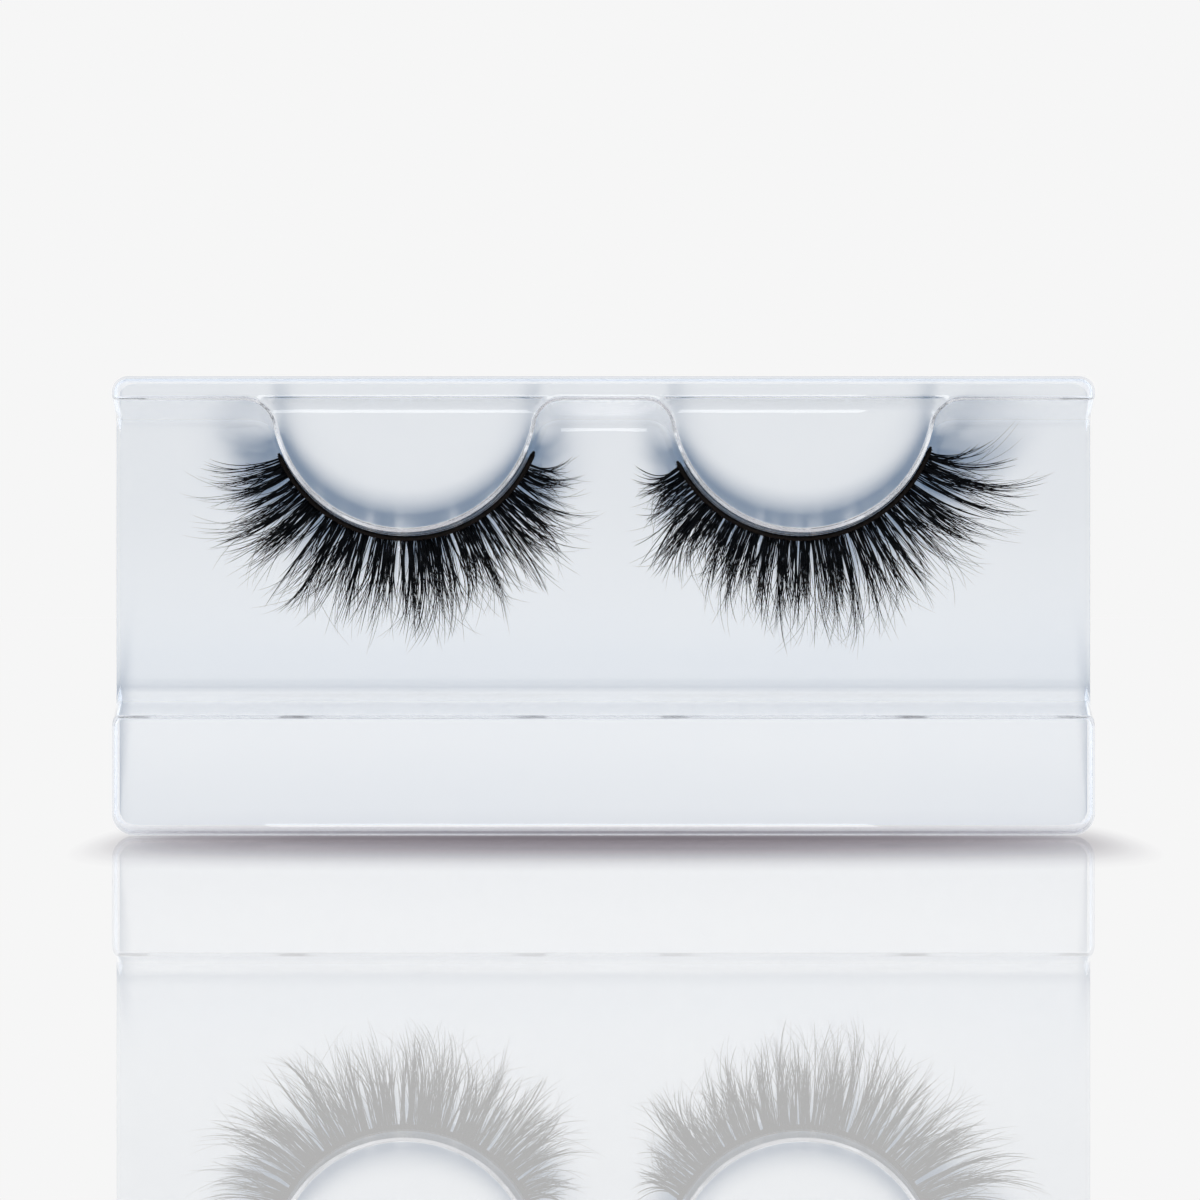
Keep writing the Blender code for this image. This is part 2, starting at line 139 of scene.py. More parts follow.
def clear_material():
    """Clear PET sheet: faint blue tint, forming waves and a little fine dust."""
    mat, tree, out = new_material("clear_sheet")
    links = tree.links
    coords = tree.nodes.new("ShaderNodeTexCoord").outputs["Object"]
    glass = tree.nodes.new("ShaderNodeBsdfPrincipled")
    glass.inputs["Roughness"].default_value = 0.012
    glass.inputs["IOR"].default_value = 1.57
    glass.inputs["Transmission Weight"].default_value = 1.0
    cloud = noise_node(tree, coords, 55.0, 4.0)
    tint = ramp(tree, cloud.outputs["Fac"], [(0.35, (0.955, 0.965, 0.988)), (0.65, (0.965, 0.973, 0.991))])
    specks = tree.nodes.new("ShaderNodeTexVoronoi")
    specks.inputs["Scale"].default_value = 130.0
    links.new(coords, specks.inputs["Vector"])
    dust = ramp(tree, specks.outputs["Distance"], [(0.0, (1, 1, 1)), (0.028, (0, 0, 0))])
    picked = noise_node(tree, coords, 41.0, 1.0)
    few = ramp(tree, picked.outputs["Fac"], [(0.64, (0, 0, 0)), (0.68, (1, 1, 1))])
    both = tree.nodes.new("ShaderNodeMath")
    both.operation = "MULTIPLY"
    links.new(dust.outputs["Color"], both.inputs[0])
    links.new(few.outputs["Color"], both.inputs[1])
    mix = tree.nodes.new("ShaderNodeMix")
    mix.data_type = "RGBA"
    links.new(both.outputs[0], mix.inputs["Factor"])
    links.new(tint.outputs["Color"], mix.inputs[6])
    mix.inputs[7].default_value = (0.62, 0.65, 0.72, 1.0)
    links.new(mix.outputs[2], glass.inputs["Base Color"])
    wave = noise_node(tree, coords, 70.0, 2.0)
    bump = tree.nodes.new("ShaderNodeBump")
    bump.inputs["Strength"].default_value = 0.015
    bump.inputs["Distance"].default_value = 0.0001
    links.new(wave.outputs["Fac"], bump.inputs["Height"])
    links.new(bump.outputs["Normal"], glass.inputs["Normal"])
    clear = tree.nodes.new("ShaderNodeBsdfTransparent")
    clear.inputs["Color"].default_value = (0.985, 0.988, 0.993, 1.0)
    path = tree.nodes.new("ShaderNodeLightPath")
    facing = tree.nodes.new("ShaderNodeLayerWeight")
    facing.inputs["Blend"].default_value = 0.5
    power = tree.nodes.new("ShaderNodeMath")
    power.operation = "POWER"
    links.new(facing.outputs["Facing"], power.inputs[0])
    power.inputs[1].default_value = 5.0
    keep = tree.nodes.new("ShaderNodeMath")
    keep.operation = "SUBTRACT"
    keep.inputs[0].default_value = 1.0
    links.new(power.outputs[0], keep.inputs[1])
    share = tree.nodes.new("ShaderNodeMath")
    share.operation = "MULTIPLY"
    links.new(path.outputs["Is Shadow Ray"], share.inputs[0])
    links.new(keep.outputs[0], share.inputs[1])
    blend = tree.nodes.new("ShaderNodeMixShader")
    links.new(share.outputs[0], blend.inputs[0])
    links.new(glass.outputs[0], blend.inputs[1])
    links.new(clear.outputs[0], blend.inputs[2])
    links.new(blend.outputs[0], out.inputs["Surface"])
    return mat


def hair_material():
    """Glossy black hair, finely streaked along its length."""
    mat, tree, out = new_material("lash_hair")
    links = tree.links
    coords = tree.nodes.new("ShaderNodeTexCoord").outputs["Object"]
    shader = tree.nodes.new("ShaderNodeBsdfPrincipled")
    streak = noise_node(tree, coords, 1500.0, 3.0)
    colour = ramp(
        tree, streak.outputs["Fac"], [(0.3, (0.0008, 0.0013, 0.0024)), (0.55, (0.0016, 0.0025, 0.0044)), (0.75, (0.004, 0.0056, 0.009))]
    )
    links.new(colour.outputs["Color"], shader.inputs["Base Color"])
    gloss = noise_node(tree, coords, 420.0, 2.0)
    rough = ramp(tree, gloss.outputs["Fac"], [(0.3, (0.34, 0.34, 0.34)), (0.7, (0.52, 0.52, 0.52))])
    links.new(rough.outputs["Color"], shader.inputs["Roughness"])
    bump = tree.nodes.new("ShaderNodeBump")
    bump.inputs["Strength"].default_value = 0.25
    bump.inputs["Distance"].default_value = 0.00002
    links.new(streak.outputs["Fac"], bump.inputs["Height"])
    links.new(bump.outputs["Normal"], shader.inputs["Normal"])
    shader.inputs["Specular IOR Level"].default_value = 0.05
    links.new(shader.outputs[0], out.inputs["Surface"])
    return mat


def cotton_material():
    """The lash band: waxed black cotton with a fine twist."""
    mat, tree, out = new_material("lash_band")
    links = tree.links
    coords = tree.nodes.new("ShaderNodeTexCoord").outputs["Object"]
    shader = tree.nodes.new("ShaderNodeBsdfPrincipled")
    fibre = noise_node(tree, coords, 2600.0, 4.0, 0.65)
    colour = ramp(
        tree, fibre.outputs["Fac"], [(0.3, (0.0012, 0.0013, 0.0018)), (0.6, (0.003, 0.0030, 0.0034)), (0.8, (0.010, 0.009, 0.009))]
    )
    links.new(colour.outputs["Color"], shader.inputs["Base Color"])
    rough = ramp(tree, fibre.outputs["Fac"], [(0.3, (0.38, 0.38, 0.38)), (0.8, (0.7, 0.7, 0.7))])
    links.new(rough.outputs["Color"], shader.inputs["Roughness"])
    shader.inputs["Specular IOR Level"].default_value = 0.04
    bump = tree.nodes.new("ShaderNodeBump")
    bump.inputs["Strength"].default_value = 0.6
    bump.inputs["Distance"].default_value = 0.00004
    links.new(fibre.outputs["Fac"], bump.inputs["Height"])
    links.new(bump.outputs["Normal"], shader.inputs["Normal"])
    links.new(shader.outputs[0], out.inputs["Surface"])
    return mat


def glue_material():
    """Removable glue: a thin line, nearly black beside the band, with small bubbles."""
    mat, tree, out = new_material("adhesive")
    links = tree.links
    coords = tree.nodes.new("ShaderNodeTexCoord").outputs["Object"]
    shader = tree.nodes.new("ShaderNodeBsdfPrincipled")
    cloud = noise_node(tree, coords, 900.0, 3.0)
    colour = ramp(
        tree, cloud.outputs["Fac"], [(0.3, (0.004, 0.0037, 0.0037)), (0.55, (0.012, 0.0105, 0.010)), (0.75, (0.045, 0.038, 0.036))]
    )
    links.new(colour.outputs["Color"], shader.inputs["Base Color"])
    rough = ramp(tree, cloud.outputs["Fac"], [(0.3, (0.14, 0.14, 0.14)), (0.7, (0.32, 0.32, 0.32))])
    links.new(rough.outputs["Color"], shader.inputs["Roughness"])
    bump = tree.nodes.new("ShaderNodeBump")
    bump.inputs["Strength"].default_value = 0.5
    bump.inputs["Distance"].default_value = 0.00004
    links.new(cloud.outputs["Fac"], bump.inputs["Height"])
    links.new(bump.outputs["Normal"], shader.inputs["Normal"])
    links.new(shader.outputs[0], out.inputs["Surface"])
    return mat


# ================================================================ meshes
def mesh_object(name, verts, faces, mat, smooth=True):
    """An object from vertices in millimetres."""
    mesh = bpy.data.meshes.new(name)
    mesh.from_pydata([(x * MM, y * MM, z * MM) for x, y, z in verts], [], faces)
    mesh.materials.append(mat)
    if smooth:
        mesh.shade_smooth()
    obj = bpy.data.objects.new(name, mesh)
    bpy.context.scene.collection.objects.link(obj)
    return obj


def baked(obj):
    """The object with its modifiers applied."""
    bpy.context.view_layer.update()
    graph = bpy.context.evaluated_depsgraph_get()
    mesh = bpy.data.meshes.new_from_object(obj.evaluated_get(graph), preserve_all_data_layers=True, depsgraph=graph)
    old = obj.data
    obj.modifiers.clear()
    obj.data = mesh
    bpy.data.meshes.remove(old)
    mesh.name = obj.name
    return obj


# ---------------------------------------------------------------- tray
def wall_section(drop, top_round, base_round, draft, top_n, base_n):
    """Points (out, down) of a drafted wall, from the start of its top round to the end of its base round."""
    turn = math.pi / 2 - draft
    points = [
        (top_round * math.sin(turn * i / top_n), top_round * (1 - math.cos(turn * i / top_n)))
        for i in range(top_n + 1)
    ]
    straight = drop - (top_round + base_round) * (1 - math.cos(turn))
    foot = points[-1][0] + straight * math.tan(draft)
    for i in range(base_n + 1):
        a = turn * (1 - i / base_n)
        points.append((foot + base_round * (math.sin(turn) - math.sin(a)), drop - base_round * (1 - math.cos(a))))
    return points


RIM_WALL = wall_section(TROUGH_DEPTH, RIM_TOP_ROUND, RIM_BASE_ROUND, RIM_DRAFT, TOP_SEGMENTS, BASE_SEGMENTS)
MOON_WALL = wall_section(
    TROUGH_DEPTH - PLATFORM_DEPTH, MOON_TOP_ROUND, MOON_BASE_ROUND, MOON_DRAFT, TOP_SEGMENTS, BASE_SEGMENTS
)
PANEL_WALL = wall_section(
    TROUGH_DEPTH, PANEL_TOP_ROUND, PANEL_BASE_ROUND, PANEL_DRAFT, TOP_SEGMENTS, BASE_SEGMENTS
)
STEP_WALL = wall_section(PLATFORM_DEPTH, STEP_TOP_ROUND, STEP_BASE_ROUND, STEP_DRAFT, STEP_SEGMENTS, STEP_SEGMENTS)


def along(points, value):
    """Depth read off a section's polyline at a distance out from its edge."""
    if value <= points[0][0]:
        return points[0][1]
    for (a, da), (b, db) in zip(points, points[1:]):
        if value <= b:
            return da + (db - da) * (value - a) / (b - a)
    return points[-1][1]


def side_depth(z):
    if z > 0.5 * (RIM_EDGE_Z + PANEL_EDGE_Z):
        return along(RIM_WALL, RIM_EDGE_Z - z)
    return along(PANEL_WALL, z - PANEL_EDGE_Z)


def step_depth(z):
    return along(STEP_WALL, STEP_EDGE_Z - z)


def flare_angles(level_lean, first_lean):
    """Angles round a flare; on the first level its points lie at the heights of the step's rows."""
    angles = [math.asin(max(-1.0, min(1.0, 1 - out / FLARE_R))) for out, _ in STEP_WALL]
    last = angles[-1]
    angles += [last + (first_lean - last) * k / (FLARE_EXTRA + 1) for k in range(1, FLARE_EXTRA + 1)]
    quarter = math.pi / 2
    return [quarter - (quarter - a) * (quarter - level_lean) / (quarter - first_lean) for a in angles]


def flare_place(level):
    """Height of the flares' centres, their distance from the half-moon's middle and their lean."""
    radius = MOON_R + MOON_WALL[level][0]
    centre_z = RIM_EDGE_Z - RIM_WALL[level][0] - FLARE_R
    reach = math.sqrt((radius + FLARE_R) ** 2 - (centre_z - MOON_Z) ** 2)
    return radius, centre_z, reach, math.atan2(MOON_Z - centre_z, reach)


def moon_contour(level):
    """One level of the trough's upper boundary round the right half-moon, left flare to right flare."""
    radius, centre_z, reach, lean = flare_place(level)
    flare = flare_angles(lean, flare_place(0)[3])
    points = [(MOON_X - reach + FLARE_R * math.cos(a), centre_z + FLARE_R * math.sin(a)) for a in flare]
    step = math.pi / ARC_SEGMENTS
    first, last = math.pi + lean, 2 * math.pi - lean
    grid = [math.pi + k * step for k in range(1, ARC_SEGMENTS)]
    for a in [first, *(g for g in grid if first + 0.4 * step < g < last - 0.4 * step), last]:
        points.append((MOON_X + radius * math.cos(a), MOON_Z + radius * math.sin(a)))
    points += [(MOON_X + reach - FLARE_R * math.cos(a), centre_z + FLARE_R * math.sin(a)) for a in reversed(flare)]
    return points


def between(a, b):
    """a, then the multiples of PITCH that lie between a and b, without b: rows at different levels line up."""
    lo, hi = min(a, b) + 0.35 * PITCH, max(a, b) - 0.35 * PITCH
    grid = [k * PITCH for k in range(math.ceil(lo / PITCH), math.floor(hi / PITCH) + 1)]
    return [a, *(grid if b > a else reversed(grid))]


def trough_contour(level):
    contour = moon_contour(level)
    flare = [step_depth(z) / PLATFORM_DEPTH for _, z in moon_contour(0)[: len(STEP_WALL) + FLARE_EXTRA]]
    weights = flare + [1.0] * (len(contour) - 2 * len(flare)) + flare[::-1]
    rim_down, moon_down = RIM_WALL[level][1], PLATFORM_DEPTH + MOON_WALL[level][1]
    right = [(x, z, rim_down + w * (moon_down - rim_down)) for (x, z), w in zip(contour, weights)]
    left = [(-x, z, d) for x, z, d in reversed(right)]
    edge = WIDTH / 2 - EDGE_ROUND
    line = RIM_EDGE_Z - RIM_WALL[level][0]
    runs = [between(-edge, left[0][0]), between(left[-1][0], right[0][0])[1:], between(right[-1][0], edge)[1:] + [edge]]
    runs = [[(x, line, rim_down) for x in run] for run in runs]
    return runs[0] + left + runs[1] + right + runs[2]


def outline():
    """The tray's outline, anticlockwise, as (x, z, outward x, outward z, edge round, lift)."""
    half = WIDTH / 2
    points = []

    def corner(cx, cz, radius, start, r0, r1):
        for i in range(CORNER_SEGMENTS + 1):
            a = start + math.pi / 2 * i / CORNER_SEGMENTS
            nx, nz = math.cos(a), math.sin(a)
            points.append((cx + radius * nx, cz + radius * nz, nx, nz, r0 + (r1 - r0) * i / CORNER_SEGMENTS, 0.0))

    rows = [(PANEL_EDGE_Z + out, -PANEL_END_ROUND) for out, _ in PANEL_WALL]
    rows += [(z, 0.0) for z in between(rows[-1][0], RIM_EDGE_Z - RIM_WALL[-1][0])[1:]]
    rows += [(RIM_EDGE_Z - out, min(RIM_END_ROUND, 0.5 * out)) for out, _ in reversed(RIM_WALL)]
    corner(half - CORNER_BOTTOM, CORNER_BOTTOM, CORNER_BOTTOM, -math.pi / 2, EDGE_ROUND_BOTTOM, EDGE_ROUND)
    points += [(half, z, 1.0, 0.0, EDGE_ROUND, lift) for z, lift in rows]
    corner(half - CORNER_TOP, HEIGHT - CORNER_TOP, CORNER_TOP, 0.0, EDGE_ROUND, EDGE_ROUND)
    reach = half - CORNER_TOP
    points += [(x, HEIGHT, 0.0, 1.0, EDGE_ROUND, 0.0) for x in between(reach, -reach)[1:]]
    corner(CORNER_TOP - half, HEIGHT - CORNER_TOP, CORNER_TOP, math.pi / 2, EDGE_ROUND, EDGE_ROUND)
    points += [(-half, z, -1.0, 0.0, EDGE_ROUND, lift) for z, lift in reversed(rows)]
    corner(CORNER_BOTTOM - half, CORNER_BOTTOM, CORNER_BOTTOM, math.pi, EDGE_ROUND, EDGE_ROUND_BOTTOM)
    reach = half - CORNER_BOTTOM
    points += [(x, 0.0, 0.0, -1.0, EDGE_ROUND_BOTTOM, 0.0) for x in between(-reach, reach)[1:]]
    return points


def end_lean(x, depth):
    """How far a point of the front surface leans out with its depth; only near the tray's two ends."""
    share = max(0.0, min(1.0, (abs(x) - LEAN_FROM) / (WIDTH / 2 - EDGE_ROUND - LEAN_FROM)))
    return math.copysign(SIDE_DRAFT * depth / DEPTH * share, x)


def inside(point, loop):
    found = False
    for (ax, az, *_), (bx, bz, *_) in zip(loop, loop[1:] + loop[:1]):
        if (az > point.y) != (bz > point.y) and point.x < ax + (bx - ax) * (point.y - az) / (bz - az):
            found = not found
    return found


def build_tray(mat):
    """The sheet's outer skin in one piece, thickened inwards."""
    plan, depths, edges, index = [], [], [], {}

    def vertex(x, z, depth):
        key = (round(x, 5), round(z, 5))
        if key not in index:
            index[key] = len(plan)
            plan.append(Vector((x, z)))
            depths.append(depth)
        return index[key]

    def line(points, closed=False):
        ids = [vertex(*p) for p in points]
        pairs = list(zip(ids, ids[1:])) + ([(ids[-1], ids[0])] if closed else [])
        edges.extend(p for p in pairs if p[0] != p[1])
        return ids

    ring = outline()
    inner = [(x - nx * r, z - nz * r, side_depth(z) if nz == 0 else 0.0) for x, z, nx, nz, r, _ in ring]
    inner_ids = line(inner, closed=True)
    for level in range(len(RIM_WALL)):
        line(trough_contour(level))
    edge = WIDTH / 2 - EDGE_ROUND
    for out, down in PANEL_WALL:
        line([(x, PANEL_EDGE_Z + out, down) for x in between(-edge, edge) + [edge]])
    # Rows of the step from the rim's face down to each platform, flare to flare.
    top = moon_contour(0)
    for i, (out, down) in enumerate(STEP_WALL):
        (xl, z), (xr, _) = top[i], top[-1 - i]
        if i == 0:
            continue
        for side in (-1, 1):
            line([(side * x, z, down) for x in between(xl, xr) + [xr]])

    points, _, faces, origin, _, _ = delaunay_2d_cdt(plan, edges, [], 0, 1e-6)
    assert len(points) == len(plan), "two plan lines cross"
    bm = bmesh.new()
    front = -DEPTH / 2
    verts = []
    for new, olds in enumerate(origin):
        depth = depths[olds[0]]
        x, z = points[new]
        verts.append(bm.verts.new((x + end_lean(x, depth), front + depth, z)))
    where = {old: verts[new] for new, olds in enumerate(origin) for old in olds}
    for face in faces:
        a, b, c = (points[i] for i in face[:3])
        if abs((b - a).cross(c - a)) > 1e-7 and inside((a + b + c) / 3, inner):
            bm.faces.new([verts[i] for i in face])
    last = [where[i] for i in inner_ids]
    for step in range(1, EDGE_SEGMENTS + 3):
        loop = []
        for (x, z, nx, nz, r, lift), start in zip(ring, inner):
            if step <= EDGE_SEGMENTS:
                a = math.pi / 2 * step / EDGE_SEGMENTS
                inset, turned = r * (1 - math.sin(a)), 1 - math.cos(a)
                co = (x - nx * inset, front + start[2] + r * turned, z - nz * inset + lift * turned)
            else:
                base = front + start[2] + r
                co = (x, base + (DEPTH / 2 - base) * (step - EDGE_SEGMENTS) / 2, z + lift)
            lean = SIDE_DRAFT * (co[1] - front) / DEPTH * nx
            loop.append(bm.verts.new((co[0] + lean, co[1], co[2])))
        for i in range(len(loop)):
            j = (i + 1) % len(loop)
            bm.faces.new([last[i], loop[i], loop[j], last[j]])
        last = loop
    for v in bm.verts:
        v.co *= MM
    mesh = bpy.data.meshes.new("clear_tray")
    bm.to_mesh(mesh)
    bm.free()
    mesh.materials.append(mat)
    mesh.shade_smooth()
    tray = bpy.data.objects.new("clear_tray", mesh)
    bpy.context.scene.collection.objects.link(tray)
    solid = tray.modifiers.new("sheet", "SOLIDIFY")
    solid.thickness = SHEET * MM
    solid.offset = -1.0
    solid.use_even_offset = True
    solid.use_quality_normals = True
    solid.use_rim = True
    baked(tray)
    tray.data.set_sharp_from_angle(angle=math.radians(50))
    weight = tray.modifiers.new("normals", "WEIGHTED_NORMAL")
    weight.mode = "FACE_AREA"
    weight.keep_sharp = True
    weight.thresh = 0.001
    baked(tray)
    return tray


# ---------------------------------------------------------------- lashes
def wall_radius(depth):
    out, down = MOON_WALL[TOP_SEGMENTS]
    return MOON_R + out + (depth - PLATFORM_DEPTH - down) * math.tan(MOON_DRAFT)


def on_wall(side, theta, away, up):
    """A point by its angle about the half-moon, its distance off the wall and its height up it."""
    radius = wall_radius(BAND_LEVEL) + away * math.cos(MOON_DRAFT) - up * math.sin(MOON_DRAFT)
    depth = BAND_LEVEL - away * math.sin(MOON_DRAFT) - up * math.cos(MOON_DRAFT)
    a = math.radians(theta)
    return Vector((side * MOON_X + radius * math.sin(a), -DEPTH / 2 + depth, MOON_Z - radius * math.cos(a)))


class Tubes:
    """Collects closed, tapering tubes into one mesh."""

    def __init__(self):
        self.verts, self.faces = [], []

    def add(self, path, radii, sides=3, spin=0.0, flat=1.0, ends=True):
        """A tube along path (Vectors, mm). A last radius of 0 makes a point."""
        base = len(self.verts)
        count = len(path)
        pointed = radii[-1] == 0.0
        normal = None
        for i, p in enumerate(path):
            tangent = (path[min(i + 1, count - 1)] - path[max(i - 1, 0)]).normalized()
            if normal is None:
                helper = Vector((0.0, 1.0, 0.0)) if abs(tangent.y) < 0.9 else Vector((1.0, 0.0, 0.0))
                normal = (helper - tangent * helper.dot(tangent)).normalized()
            else:
                normal = (normal - tangent * normal.dot(tangent)).normalized()
            side = tangent.cross(normal)
            if pointed and i == count - 1:
                self.verts.append(tuple(p))
                break
            for s in range(sides):
                a = spin + 2 * math.pi * s / sides
                self.verts.append(tuple(p + (normal * math.cos(a) + side * math.sin(a) * flat) * radii[i]))
        rings = count - 1 if pointed else count
        for i in range(rings - 1):
            for s in range(sides):
                a, b = base + i * sides + s, base + i * sides + (s + 1) % sides
                self.faces.append((a, b, b + sides, a + sides))
        last = base + (rings - 1) * sides
        if pointed:
            for s in range(sides):
                self.faces.append((last + s, last + (s + 1) % sides, last + sides))
        elif ends:
            self.faces.append(tuple(last + s for s in range(sides)))
        if ends:
            self.faces.append(tuple(base + s for s in reversed(range(sides))))

    def build(self, name, mat):
        return mesh_object(name, self.verts, self.faces, mat)


# Where the hair comes to its points: root angle about the half-moon in degrees, and the point's place in the
# photograph's frame. Each point was read off an enlarged view.
LEFT_SPIKES = [
    (-65.0, 199, 473), (-63.2, 214, 481), (-59.5, 203, 497), (-56.8, 192, 502), (-54.0, 206, 520),
    (-51.5, 215, 535), (-48.0, 209, 545), (-45.0, 224, 560), (-42.6, 232, 567), (-39.5, 240, 583),
    (-36.8, 262, 588), (-34.0, 268, 605), (-30.8, 283, 603), (-28.0, 290, 622), (-25.0, 305, 616),
    (-21.5, 322, 622), (-19.0, 331, 632), (-16.0, 343, 636), (-12.5, 356, 632), (-9.0, 371, 640),
    (-6.0, 386, 646), (-3.2, 396, 636), (-0.5, 405, 642), (2.5, 416, 646), (5.5, 425, 634),
    (8.0, 438, 652), (11.0, 447, 640), (14.2, 458, 634), (17.5, 470, 622), (20.5, 481, 624),
    (24.0, 495, 620), (27.4, 508, 616), (31.0, 517, 606), (34.0, 530, 602), (37.7, 545, 595),
    (40.5, 563, 575), (43.9, 573, 563), (46.8, 583, 550), (49.2, 574, 538), (52.0, 588, 523),
    (54.4, 574, 513), (56.6, 580, 500), (58.2, 573, 493), (60.2, 588, 479), (61.8, 572, 466), (62.8, 573, 461),
]
RIGHT_SPIKES = [
    (-61.8, 641, 480), (-60.0, 636, 490), (-58.0, 634, 503), (-55.8, 642, 513), (-53.6, 643, 523),
    (-50.6, 656, 537), (-48.4, 641, 551), (-45.5, 648, 572), (-43.2, 655, 583), (-40.4, 668, 582),
    (-37.4, 686, 577), (-34.8, 690, 590), (-32.0, 700, 589), (-29.4, 707, 606), (-26.6, 716, 604),
    (-24.2, 718, 626), (-21.5, 732, 630), (-18.6, 745, 622), (-16.0, 754, 618), (-12.8, 763, 638),
    (-10.0, 771, 642), (-7.0, 782, 620), (-4.5, 789, 632), (-1.5, 798, 637), (1.2, 806, 640),
    (4.4, 818, 650), (7.4, 826, 636), (10.4, 840, 647), (13.4, 850, 640), (15.8, 860, 650),
    (19.5, 869, 638), (22.5, 885, 636), (25.4, 897, 628), (28.0, 911, 618), (30.6, 925, 620),
    (33.6, 940, 609), (36.6, 946, 590), (38.8, 955, 574), (42.2, 976, 582), (44.6, 986, 572),
    (47.0, 990, 550), (49.6, 1000, 542), (53.1, 1017, 532), (56.0, 1032, 517), (59.0, 1028, 500),
    (61.5, 1037, 487), (63.8, 1048, 489), (65.6, 1013, 460), (66.8, 1003, 447), (67.8, 1016, 437),
]
TUFTS_PER_DEGREE = 1.0
HAIRS_PER_TUFT = (4, 8)


def tuft_path(rng, side, theta, spike, spread, wander, lift=0.0):
    """The middle line of a tuft as a function of t: it leaves the wall squarely, bends to its spike's point
    and curls to the front."""
    near = CLEAR + GLUE_THICK + CLEAR + 0.5 * BAND_THICK
    root = on_wall(side, theta, near, 0.0)
    _, px, py = spike
    tip = from_photo(px, py, BAND_LEVEL - CURL * rng.uniform(0.72, 1.12) - lift)
    tip = tip + Vector((rng.gauss(0, spread), 0, rng.gauss(0, spread)))
    a = math.radians(theta)
    radial = Vector((math.sin(a), 0.0, -math.cos(a)))
    cross = Vector((-radial.z, 0.0, radial.x))
    reach = math.hypot(tip.x - root.x, tip.z - root.z)
    control = root + radial * reach * rng.uniform(0.46, 0.70) + cross * rng.gauss(0, 0.38)
    bow, wave, phase = rng.gauss(0, wander), rng.gauss(0, 0.10), rng.uniform(0, 6.28)

    def at(t):
        p = root * (1 - t) ** 2 + control * 2 * t * (1 - t) + tip * t * t
        p = p + cross * (bow * t**3 + wave * t * math.sin(5.2 * t + phase))
        p.y = root.y + (tip.y - root.y) * (0.22 * t + 0.78 * t**2.1)
        return p

    return at, radial, cross


def add_hair(tubes, rng, side, theta, middle, cross, offset, share, thick, flick, converge=2.4, points=12):
    """One hair that starts at its own place on the band and joins its tuft's line."""
    start = on_wall(side, theta, CLEAR + GLUE_THICK + CLEAR + 0.5 * BAND_THICK, rng.uniform(-0.36, 0.32))
    shift = start - middle(0.0)
    depth = rng.gauss(0, 0.22)
    path = []
    for i in range(points):
        u = i / (points - 1)
        t = share * u
        p = middle(t) + shift * (1 - min(1.0, t)) ** converge
        p = p + cross * (offset * math.sin(1.7 * min(1.0, t)) + flick * u**2.6)
        p.y += depth * u
        path.append(p)
    radii = [thick * (1 - 0.82 * (i / (points - 1)) ** 2.2) for i in range(points)]
    radii[-1] = 0.0
    tubes.add(path, radii, sides=3, spin=rng.uniform(0, 2))


def build_fan(label, side, number, start, end, spikes, mat):
    """The hair of one fan, tuft by tuft, as tapering tubes."""
    rng = random.Random(1000 * (2 + side) + number)
    tubes = Tubes()
    lo, hi = start + 0.75, end - 0.75
    mine = [s for s in spikes if start - 0.3 <= s[0] <= end + 0.3]
    count = round(TUFTS_PER_DEGREE * (hi - lo))
    for n in range(count):
        theta = lo + (hi - lo) * (n + rng.random()) / count
        spike = min(mine, key=lambda s: abs(s[0] - theta) + rng.gauss(0, 0.6))
        kind = rng.random()
        if kind < 0.2:  # short tuft that thickens the root
            share, spread, wander = rng.uniform(0.42, 0.66), 0.9, 0.6
        elif kind < 0.84:  # body of the spike
            share, spread, wander = rng.uniform(0.66, 0.94), 0.45, 0.8
        else:
            share, spread, wander = rng.uniform(0.92, 1.04), 0.3, 0.7
        middle, _, cross = tuft_path(rng, side, theta, spike, spread, wander)
        for _ in range(rng.randint(*HAIRS_PER_TUFT)):
            own = max(lo - 0.2, min(hi + 0.2, theta + rng.uniform(-1.15, 1.15)))
            add_hair(
                tubes, rng, side, own, middle, cross, rng.gauss(0, 0.21), share * rng.uniform(0.68, 1.08),
                rng.uniform(0.052, 0.080), rng.gauss(0.55 * math.sin(math.radians(theta)), 0.85)
            )
    for n in range(max(3, round((hi - lo) / 0.6))):  # long single hairs that carry on past the tufts
        theta = rng.uniform(lo, hi)
        spike = rng.choice(mine) if rng.random() < 0.25 else min(mine, key=lambda s: abs(s[0] - theta))
        middle, _, cross = tuft_path(rng, side, theta, spike, 0.55, 1.5, lift=rng.uniform(-0.4, 0.5))
        add_hair(
            tubes, rng, side, theta, middle, cross, 0.0, rng.uniform(0.88, 1.08), rng.uniform(0.028, 0.040),
            rng.gauss(0, 0.95), points=16
        )
    name = f"{label}_hair_{number:02d}"
    obj = tubes.build(name, mat)
    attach(obj, f"{label}_lash")
    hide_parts(f"{label}_fan_{number:02d}")
    return obj


